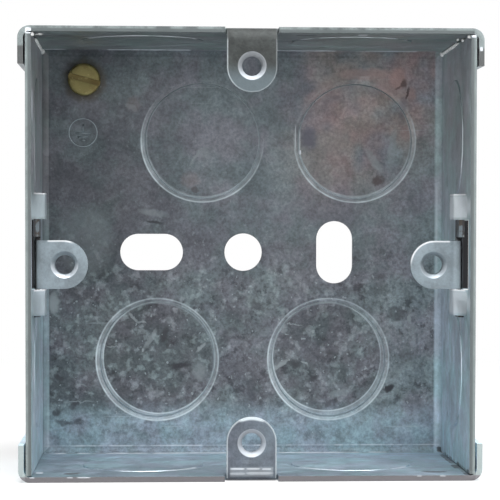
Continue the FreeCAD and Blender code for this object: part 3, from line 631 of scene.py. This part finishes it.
def straps(painter, at, colour):
    """Straps of the side walls: clean zinc with painted highlight, whiter on the right, and
    painted highlights on their upper edges.
    """
    strap = painter.product(painter.spread(at.side, 35.2, 34.9),
                            painter.spread(at.side, 32.0, 32.4),
                            painter.band(at.level, STRAP_LEVEL, 2.4),
                            painter.spread(at.depth, -21.0, -22.0))
    colour = painter.mix(painter.spread(strap, 0.0, 0.3, 0.0, 0.75), colour,
                         painter.mix(painter.spread(at.across, -5.0, 5.0, 0.0, 0.4),
                                     STRAP, EDGE_HIGHLIGHT))
    # Painted highlights on the straps' upper edges
    strap_top = painter.product(painter.either(painter.band(at.up, 9.85, 0.32),
                                               painter.band(at.up, -5.75, 0.32)),
                                painter.spread(at.side, 35.0, 34.7),
                                painter.spread(at.depth, -24.0, -25.0))
    return painter.mix(strap_top, colour, EDGE_HIGHLIGHT)


def rim_and_ears(painter, at, colour):
    """Cut edge of the sheet at the mouth, worn light with a painted highlight on its outer side,
    and the ears round it, painted lighter towards the bottom and darker at the upper ears' far
    ends as reflection.
    """
    rim = painter.spread(at.depth, -(BOX_DEPTH - 0.05), -(BOX_DEPTH - 0.02))
    outer = painter.either(painter.spread(at.level, 35.75, 36.05),
                           painter.spread(at.side, 35.45, 35.75))
    ear = painter.spread(at.side, 36.0, 36.2)
    worst = painter.spread(at.on_cap, 0.0, 1.0, 0.75, 0.1)
    outer = painter.product(outer, painter.spread(at.middle, 0.38, 0.60, worst, 1.0))
    upper_left = painter.product(painter.spread(at.across, 5.0, -5.0),
                                 painter.spread(at.up, -10.0, 10.0))
    outer = painter.either(outer, painter.product(ear, painter.spread(upper_left, 0.0, 1.0,
                                                                      1.0, 0.4)))
    tone = painter.mix(outer, RIM_DARK, RIM_LIGHT)
    low = painter.spread(at.up, -INNER_Z + 0.1, -INNER_Z - 0.1)
    tone = painter.mix(low, tone, RIM_BROWN)
    colour = painter.mix(rim, colour, tone)
    # Painted reflection: the ears lighter towards the bottom
    colour = painter.mix(ear, colour, painter.scaled(colour, painter.spread(
        at.up, 10.0, -10.0, 1.0, 1.5)))
    # Painted shade on the far ends of the upper ears
    ear_end_shade = painter.product(ear, painter.spread(at.up, 33.3, 32.9),
                                 painter.spread(at.up, 5.0, 10.0),
                                 painter.spread(at.depth, -33.2, -34.6), 0.75)
    return painter.mix(ear_end_shade, colour, EAR_END_SHADE)


def galvanised():
    """Galvanised sheet: crystals, soiled patches, marks of use, and painted light and shade on the
    walls, folds, knockout rings, lugs, rim, ears and seams.
    """
    material, painter, shader, place = new_material("galvanised_sheet")
    at = sheet_places(painter, place)
    colour = painter.mix(at.on_base, wall_tone(painter, at), base_tone(painter, at))
    colour = marked(painter, at, weathered(painter, at, colour))
    rings, flanks = base_rings(painter, at)
    # Painted light on the groove flanks against their shade, then the rings' rubbed lines with
    # their painted highlight
    colour = painter.mix(painter.product(flanks, 0.45), colour, RING)
    colour = painter.mix(rings, colour, RING_LINE)
    colour = rim_and_ears(painter, at, straps(painter, at, colour))
    colour = lug_faces(painter, at, colour)
    # Painted shade on the rear end face of the side walls' windows beside the lugs
    gap = painter.product(painter.spread(at.side, 35.0, 35.15),
                          painter.spread(at.level, 5.7, 5.5), painter.band(at.depth, -26.6, 0.3))
    colour = painter.mix(gap, colour, WINDOW_SHADE)
    # Painted highlights along the folds and on the front arcs of the walls' knockouts, on the
    # inner faces
    lines = painter.either(fold_lines(painter, at), wall_rings(painter, at))
    colour = painter.mix(painter.product(lines, at.inside), colour, LIP_AND_HIGHLIGHT)
    # Bright strokes: light marks of wear and painted highlights
    colour = painter.mix(strokes(painter, at, BRIGHT_STROKES, 0.5), colour, LIP_AND_HIGHLIGHT)

    rough = painter.spread(at.middle, 0.25, 0.75, 0.36, 0.56)
    rough = painter.maths("ADD", rough, painter.spread(at.cells[1], 0.0, 1.0, -0.05, 0.08))
    on_bend = painter.product(painter.either(painter.spread(at.level, 34.0, 34.3),
                                             painter.spread(at.side, 33.7, 34.0)),
                              painter.spread(at.depth, -2.5, -2.2), 0.3)
    rough = painter.maths("ADD", rough, painter.either(
        painter.product(at.on_lug, 0.25), on_bend, painter.product(at.soot, 0.5)))
    relief = painter.maths("MULTIPLY_ADD", at.fine, 0.22, at.middle)
    painter.wire(shader.inputs["Metallic"], painter.spread(
        painter.either(flanks, at.soot), 0.0, 0.6, 0.55, 0.1))
    surface(painter, shader, colour, rough, relief, 0.10)
    return material


LUG_LIGHT = (0.203, 0.248, 0.276, 1)
LUG_DARK = (0.150, 0.181, 0.203, 1)
LUG_SOILED = (0.070, 0.058, 0.050, 1)
# Painted shade of the leg and the wings' outer part
LUG_LEG_SHADE = (0.042, 0.041, 0.044, 1)


def plated_lug():
    """Zinc plated lug: smoother than the sheet, with painted highlights on its outline and lower
    lip, soiled wings, and the leg painted dark as shade.
    """
    material, painter, shader, place = new_material("plated_lug")
    across, depth, up = painter.node("SeparateXYZ", {0: place}).outputs
    side = painter.maths("ABSOLUTE", across)
    above = painter.maths("SUBTRACT", up, SIDE_LUG_UP)
    cloud = painter.noise(place, 0.35, detail=4.0, roughness=0.6, seed=3.0).outputs[0]
    fine = painter.noise(place, 2.4, detail=4.0, roughness=0.7, seed=11.0).outputs[0]
    colour = painter.mix(painter.spread(cloud, 0.35, 0.65), LUG_DARK, LUG_LIGHT)
    colour = painter.scaled(colour, painter.spread(fine, 0.3, 0.7, 0.93, 1.08))
    front = painter.spread(depth, SIDE_LUG_DEPTH + 0.1, SIDE_LUG_DEPTH - 0.1)
    beyond = painter.maths("MAXIMUM", painter.maths("SUBTRACT", SIDE_LUG_TIP, side), 0.0)
    out = painter.vector_maths("LENGTH", painter.joined(beyond, 0.0, above))
    # Painted highlight along the lug's outline
    edge = painter.product(painter.spread(out, 3.62, 3.8), painter.spread(above, -0.5, 1.5),
                           painter.spread(side, 33.0, 32.7),
                           painter.either(painter.spread(side, 28.4, 29.6),
                                          painter.spread(across, -5.0, 5.0)), front)
    hole = painter.vector_maths("LENGTH", painter.joined(
        painter.maths("SUBTRACT", side, FIXING_OUT), 0.0, above))
    # Lip: light zinc, painted brighter below the hole as highlight
    lip = painter.product(painter.spread(hole, 2.3, 2.15),
                          painter.spread(above, 0.8, -0.8), front,
                          painter.spread(across, -5.0, 5.0, 0.6, 0.3))
    colour = painter.mix(painter.product(edge, 0.5), colour, EDGE_HIGHLIGHT)
    colour = painter.mix(lip, colour, LIP_AND_HIGHLIGHT)
    wings = painter.product(painter.spread(painter.maths("ABSOLUTE", above), 4.0, 4.2),
                            painter.spread(side, 33.0, 33.2))
    soiled = painter.patch(place, 0.9, 0.44, 0.56, seed=17.0, detail=4.0)
    wing = painter.mix(soiled, LUG_DARK, LUG_SOILED)
    colour = painter.mix(wings, colour, wing)
    # Painted shade on the leg and on the wings' outer part
    leg = painter.product(painter.spread(side, 33.15, 33.3), painter.spread(depth, -26.9, -26.4))
    leg = painter.either(leg, painter.product(wings, painter.spread(side, 34.65, 34.8)))
    leg = painter.product(leg, painter.spread(side, 35.04, 34.98))
    colour = painter.mix(leg, colour, LUG_LEG_SHADE)
    specks = painter.patch(place, 1.3, 0.6, 0.68, seed=15.0, detail=2.0)
    colour = painter.mix(painter.product(specks, leg, 0.35), colour, FLECK)
    relief = painter.maths("MULTIPLY_ADD", fine, 0.2, cloud)
    shader.inputs["Metallic"].default_value = 0.6
    surface(painter, shader, colour, painter.spread(cloud, 0.3, 0.7, 0.36, 0.5), relief, 0.04)
    return material


BRASS = (0.205, 0.178, 0.070, 1)
BRASS_DARK = (0.125, 0.085, 0.030, 1)
BRASS_WORN = (0.40, 0.36, 0.18, 1)


def tarnished_brass():
    """Brass gone olive, with brown in the slot and worn patches."""
    material, painter, shader, place = new_material("tarnished_brass")
    depth = painter.node("SeparateXYZ", {0: place}).outputs[1]
    cloud = painter.noise(place, 0.5, detail=4.0, roughness=0.6, seed=4.0).outputs[0]
    fine = painter.noise(place, 3.2, detail=5.0, roughness=0.7, seed=8.0).outputs[0]
    colour = painter.mix(painter.spread(cloud, 0.46, 0.66, 0.0, 0.5), BRASS, BRASS_DARK)
    sunk = painter.spread(depth, -3.62, -3.4)
    colour = painter.mix(painter.product(sunk, 0.5), colour, BRASS_DARK)
    worn = painter.patch(place, 1.6, 0.6, 0.7, seed=18.0)
    colour = painter.mix(painter.product(worn, 0.4), colour, BRASS_WORN)
    shader.inputs["Metallic"].default_value = 0.7
    surface(painter, shader, colour, painter.spread(cloud, 0.3, 0.7, 0.38, 0.52), fine, 0.02)
    return material


DULL_ZINC = (0.55, 0.56, 0.55, 1)
ZINC_HIGHLIGHT = (0.95, 0.96, 0.95, 1)


def bare_zinc():
    """Zinc squeezed out at the corner seams, painted near white for the highlight it catches."""
    material, painter, shader, place = new_material("bare_zinc")
    cloud = painter.noise(place, 1.4, detail=4.0, roughness=0.6, seed=6.0).outputs[0]
    colour = painter.mix(painter.spread(cloud, 0.35, 0.65), DULL_ZINC, ZINC_HIGHLIGHT)
    shader.inputs["Metallic"].default_value = 0.1
    surface(painter, shader, colour, painter.spread(cloud, 0.3, 0.7, 0.35, 0.55), cloud, 0.08)
    return material


# Pieces

def placed(name, data):
    made = bpy.data.objects.new(name, data)
    bpy.context.scene.collection.objects.link(made)
    return made


def mesh_of(name, bm, scale=(MM,) * 3):
    """Mesh in metres, by default from one in millimetres."""
    mesh = bpy.data.meshes.new(name)
    bmesh.ops.scale(bm, vec=scale, verts=bm.verts)
    bm.to_mesh(mesh)
    bm.free()
    return mesh


def finished(name, bm, material, body):
    """Turn a mesh in millimetres into a smooth piece that rides on a body."""
    bmesh.ops.recalc_face_normals(bm, faces=bm.faces)
    for face in bm.faces:
        face.smooth = True
    made = placed(name, mesh_of(name, bm))
    made.data.materials.append(material)
    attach(made, body)
    return made


def soften(piece, width, segments=2):
    """Ease the sharp edges, and shade the flats flat and the rounds round."""
    weld = piece.modifiers.new("weld", "WELD")
    weld.merge_threshold = 0.002 * MM
    bevel = piece.modifiers.new("ease", "BEVEL")
    bevel.width = width * MM
    bevel.segments = segments
    bevel.limit_method = "ANGLE"
    bevel.angle_limit = math.radians(38)
    bevel.use_clamp_overlap = True
    normals = piece.modifiers.new("normals", "WEIGHTED_NORMAL")
    normals.keep_sharp = False


def dress(node, material):
    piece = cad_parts[node]
    piece.data.materials.clear()
    piece.data.materials.append(material)
    soften(piece, 0.09)


def lathe(profile, steps):
    """Turn (radius, along) points about the Y axis; a radius of 0 closes the end."""
    bm = bmesh.new()
    rings = []
    for radius, along in profile:
        if radius == 0:
            rings.append([bm.verts.new((0, along, 0))])
            continue
        ring = []
        for index in range(steps):
            angle = math.tau * index / steps
            ring.append(bm.verts.new((radius * math.cos(angle), along,
                                      radius * math.sin(angle))))
        rings.append(ring)
    for first, second in zip(rings, rings[1:]):
        for index in range(steps):
            after = (index + 1) % steps
            corners = [first[index % len(first)], first[after % len(first)],
                       second[after % len(second)], second[index % len(second)]]
            bm.faces.new(list(dict.fromkeys(corners)))
    return bm


def earth_screw(material):
    """Slotted cheese head with a rounded rim, and a shank with a plain tip."""
    radius, height, round_off, flat = 2.83, 1.68, 0.55, 0.6
    shank, tip_shank, shank_end, tip_end = 1.55, 1.2, 1.85, 2.28
    profile = [(0, -height), (radius - round_off - flat, -height)]
    for index in range(9):
        angle = math.radians(90 - 90 * index / 8)
        profile.append((radius - round_off + round_off * math.cos(angle),
                        -height + round_off - round_off * math.sin(angle)))
    profile += [(radius, -0.05), (radius - 0.05, 0.0), (shank, 0.0), (shank, shank_end),
                (tip_shank, tip_end), (0, tip_end)]
    bm = lathe(profile, 64)
    screw = finished("earth_screw_head", bm, material, "box")
    block = bmesh.new()
    bmesh.ops.create_cube(block, size=1.0)
    sizes = [size * MM for size in EARTH_SLOT]
    cutter = placed("slot_cutter", mesh_of("slot_cutter", block, sizes))
    cutter.location = (0, -height * MM, 0)
    cut = screw.modifiers.new("slot", "BOOLEAN")
    cut.object = cutter
    cut.solver = "EXACT"
    soften(screw, 0.06, 3)
    bpy.context.view_layer.update()
    evaluated = screw.evaluated_get(bpy.context.evaluated_depsgraph_get())
    mesh = bpy.data.meshes.new_from_object(evaluated)
    turn = Matrix.Rotation(math.radians(EARTH_SLOT_ANGLE), 4, "Y")
    mesh.transform(Matrix.Translation(EARTH_SCREW * MM) @ turn)
    screw.modifiers.clear()
    screw.data = mesh
    bpy.data.objects.remove(cutter)
    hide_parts("earth_screw")


def skin(bm, rows, closed=False):
    """Closed skin over rows of vertices, as a bar with two ends or as a ring."""
    count = len(rows[0])
    pairs = list(zip(rows, rows[1:]))
    if closed:
        pairs.append((rows[-1], rows[0]))
    for first, second in pairs:
        for step in range(count):
            other = (step + 1) % count
            bm.faces.new((first[step], first[other], second[other], second[step]))
    if not closed:
        bm.faces.new(rows[0])
        bm.faces.new(rows[-1])


def thread(name, centre, length, material, body):
    """Ridge of a female thread: one helix inside a bore along Y."""
    steps = 40
    turns = length / THREAD_PITCH
    count = int(steps * turns)
    bm = bmesh.new()
    rows = []
    for index in range(count + 1):
        angle = math.tau * index / steps
        along = centre.y - length / 2 + THREAD_PITCH * index / steps
        fade = min(1.0, index / 12, (count - index) / 12)
        row = []
        for rise, offset in ((0.01, -0.26), (-THREAD_RISE * fade, 0.0), (0.01, 0.26)):
            radius = THREAD_BORE + rise
            row.append(bm.verts.new((centre.x + radius * math.cos(angle), along + offset,
                                     centre.z + radius * math.sin(angle))))
        rows.append(row)
    skin(bm, rows)
    finished(name, bm, material, body)


def ridge(bm, points, half, height, closed=False):
    """Low rounded ridge on the base, along points given as (across, up)."""
    rows = []
    count = len(points)
    for index, (across, up) in enumerate(points):
        before = points[index - 1] if closed or index else points[index]
        after = points[(index + 1) % count] if closed or index < count - 1 else points[index]
        way = Vector((after[0] - before[0], after[1] - before[1])).normalized()
        side = Vector((way.y, -way.x))
        row = []
        for step in range(7):
            angle = math.pi * step / 6
            out = half * math.cos(angle)
            rise = height * math.sin(angle) - 0.02
            row.append(bm.verts.new((across + side.x * out, BASE_FACE - rise,
                                     up + side.y * out)))
        rows.append(row)
    skin(bm, rows, closed)


def earth_mark(material):
    """Stamped earth sign in a ring, beside the earth screw."""
    bm = bmesh.new()
    middle = (EARTH_MARK.x, EARTH_MARK.z)
    radius = 2.45
    ring = []
    for index in range(72):
        angle = math.tau * index / 72
        ring.append((middle[0] + radius * math.cos(angle), middle[1] + radius * math.sin(angle)))
    ridge(bm, ring, 0.13, 0.07, closed=True)
    strokes = [((0.0, 1.5), (0.0, -0.1)), ((-1.35, -0.1), (1.35, -0.1)),
               ((-0.85, -0.75), (0.85, -0.75)), ((-0.4, -1.35), (0.4, -1.35))]
    for start, end in strokes:
        ridge(bm, [(middle[0] + start[0], middle[1] + start[1]),
                   (middle[0] + end[0], middle[1] + end[1])], 0.12, 0.06)
    finished("earth_mark", bm, material, "box")


def tube(bm, rows_of):
    """Closed skin over rings of points, all with the same count."""
    skin(bm, [[bm.verts.new(point) for point in row] for row in rows_of])


def bead(bm, middle, reach, seed):
    """Uneven drop of zinc, longer along the seam than across it."""
    rows = []
    for index in range(1, 12):
        angle = math.pi * index / 12
        row = []
        for step in range(12):
            turn = math.tau * step / 12
            way = Vector((math.sin(angle) * math.cos(turn), -math.cos(angle),
                          math.sin(angle) * math.sin(turn)))
            size = 1.0 + 0.45 * noise.noise(way * 1.3 + Vector((seed, 0.0, 0.0)))
            row.append(middle + Vector((way.x * reach[0], way.y * reach[1],
                                        way.z * reach[2])) * size)
        rows.append(row)
    tube(bm, rows)


def seam_burr(name, side, start, length, up_from, drops, material):
    """Uneven run of zinc along a corner seam, wide at the base and thinning out."""
    bm = bmesh.new()
    rows = []
    count = 70
    for index in range(count + 1):
        share = index / count
        along = start - share * length
        wobble = noise.noise(Vector((side * 9.0, along * 0.3, 1.0)))
        radius = 0.29 + 0.09 * noise.noise(Vector((side * 5.0, along * 0.7, 4.0)))
        radius += 0.28 * max(0.0, 1.0 - share * 10.0)
        radius *= min(1.0, (1.0 - share) * 6.0 + 0.12, share * 40.0 + 0.3)
        across = side * (INNER_X - 0.08 + 0.08 * wobble)
        up = up_from + (INNER_Z - CORNER_GAP - 0.06 - up_from) * share + 0.1 * wobble
        row = []
        for step in range(10):
            angle = math.tau * step / 10
            row.append(Vector((across + radius * math.cos(angle), along,
                               up + radius * math.sin(angle))))
        rows.append(row)
    tube(bm, rows)
    for index, (across, along, up, reach) in enumerate(drops):
        bead(bm, Vector((across, along, up)), reach, 3.0 * index + side)
    finished(name, bm, material, "box")


# Drops of zinc on the seams: across, depth, up and the reach each way
LEFT_DROPS = [(-34.95, -33.4, 35.1, (0.34, 0.7, 0.34)), (-34.05, -30.3, 35.33, (0.6, 1.4, 0.16))]
RIGHT_DROPS = [(34.95, -26.8, 35.1, (0.3, 0.6, 0.3)), (34.15, -26.0, 35.28, (0.16, 1.2, 0.2)),
               (34.95, -33.7, 35.1, (0.3, 0.6, 0.3))]
# Seams: name, side, depth where the zinc starts, its length, height there, and drops
SEAMS = [("left_seam_burr", -1, -3.0, 22.5, 34.76, LEFT_DROPS),
         ("right_seam_burr", 1, -1.3, 20.5, 34.88, RIGHT_DROPS)]

sheet_metal = galvanised()
lug_metal = plated_lug()
brass = tarnished_brass()
bare = bare_zinc()
dress("box_shell", sheet_metal)
for lug in ("left_adjustable_lug", "right_adjustable_lug"):
    dress(lug, lug_metal)
earth_screw(brass)
earth_mark(sheet_metal)
for seam in SEAMS:
    seam_burr(*seam, bare)
for side, word in ((-1, "left"), (1, "right")):
    spot = Vector((side * FIXING_OUT, SIDE_THREAD_DEPTH, SIDE_LUG_UP))
    thread(word + "_lug_thread", spot, THREAD_LENGTH, lug_metal, word + "_lug")
for sign, word in ((-1, "bottom"), (1, "top")):
    spot = Vector((0.0, FIXED_THREAD_DEPTH, sign * FIXING_OUT))
    thread(word + "_lug_thread", spot, THREAD_LENGTH, sheet_metal, "box")


# Floor, backdrop, light and camera

WHITE = (1.0, 1.0, 1.0, 1)
FLOOR_GREY = (0.8, 0.8, 0.8, 1)
FLOOR_GAP = 0.02
AMBIENT = 0.42
# Lamps: name, place, aim, size and power, in metres and watts
LAMPS = [
    ("key", (0.06, -0.30, 0.62), (0, -0.02, -0.01), (0.5, 0.36), 9.0),
    ("left_fill", (-0.4, -0.6, 0.0), (0, -0.02, 0), (0.5, 0.5), 1.0),
    ("right_fill", (0.4, -0.6, 0.0), (0, -0.02, 0), (0.5, 0.5), 1.8),
]
# Camera of the photograph: place in millimetres, angles in degrees, lens in pixels
CAMERA_PLACE = (-14.97, -361.41, 4.94)
CAMERA_TILT = 1.90
CAMERA_SWING = 3.14
FRAME_PX = 500.0
FOCAL_PX = 2048.1
CENTRE_PX = (270.4, 292.0)


def seen_directly(painter):
    """1 for rays from the camera, from gloss and through glass."""
    path = painter.node("LightPath").outputs
    return painter.either(path["Is Camera Ray"], path["Is Glossy Ray"],
                          path["Is Transmission Ray"])


def backdrop():
    world = bpy.data.worlds.new("backdrop")
    bpy.context.scene.world = world
    world.use_nodes = True
    painter = Painter(world.node_tree)
    strength = painter.maths("MULTIPLY_ADD", seen_directly(painter), 1.0 - AMBIENT, AMBIENT)
    light = painter.node("Background", {"Color": WHITE, "Strength": strength})
    painter.node("OutputWorld", {"Surface": light.outputs[0]})


def floor():
    """Pale floor that keeps a faint shadow close to the box and is white further off."""
    bm = bmesh.new()
    reach = 4.0 / MM
    corners = [(-reach, -reach), (reach, -reach), (reach, reach), (-reach, reach)]
    bm.faces.new([bm.verts.new((x, y, 0)) for x, y in corners])
    made = placed("floor", mesh_of("floor", bm))
    made.location.z = cad_box[0].z - FLOOR_GAP * MM
    material = bpy.data.materials.new("floor_white")
    material.use_nodes = True
    painter = Painter(material.node_tree)
    place = painter.node("TexCoord").outputs["Object"]
    away = painter.vector_maths("LENGTH", place)
    near = painter.spread(away, 0.09, 0.26, 1.0, 0.0)
    plain = painter.node("BsdfDiffuse", {"Color": FLOOR_GREY}).outputs[0]
    glow = painter.node("Emission", {"Color": WHITE, "Strength": 1.0}).outputs[0]
    soft = painter.node("MixShader", {0: painter.product(near, 0.5), 1: glow, 2: plain})
    whole = painter.node("MixShader", {0: seen_directly(painter), 1: plain,
                                       2: soft.outputs[0]})
    painter.node("OutputMaterial", {"Surface": whole.outputs[0]})
    made.data.materials.append(material)


def lamp(name, place, aim, size, power):
    data = bpy.data.lights.new(name, "AREA")
    data.shape = "RECTANGLE"
    data.size, data.size_y = size
    data.energy = power
    made = placed(name, data)
    made.location = place
    made.rotation_mode = "QUATERNION"
    made.rotation_quaternion = (Vector(aim) - Vector(place)).to_track_quat("-Z", "Y")


def camera():
    """The photograph's view: from the front, a little left and above the middle."""
    data = bpy.data.cameras.new("camera")
    made = placed("camera", data)
    data.sensor_width = 36.0
    data.lens = data.sensor_width * FOCAL_PX / FRAME_PX
    data.shift_x = (FRAME_PX / 2 - CENTRE_PX[0]) / FRAME_PX
    data.shift_y = (CENTRE_PX[1] - FRAME_PX / 2) / FRAME_PX
    data.clip_start = 0.01
    data.clip_end = 50.0
    level = Matrix.Rotation(math.radians(90 - CAMERA_TILT), 4, "X")
    made.matrix_world = (Matrix.Translation(Vector(CAMERA_PLACE) * MM)
                         @ level @ Matrix.Rotation(math.radians(-CAMERA_SWING), 4, "Y"))
    bpy.context.scene.camera = made


backdrop()
floor()
for row in LAMPS:
    lamp(*row)
camera()
bpy.context.scene.view_settings.view_transform = "Standard"
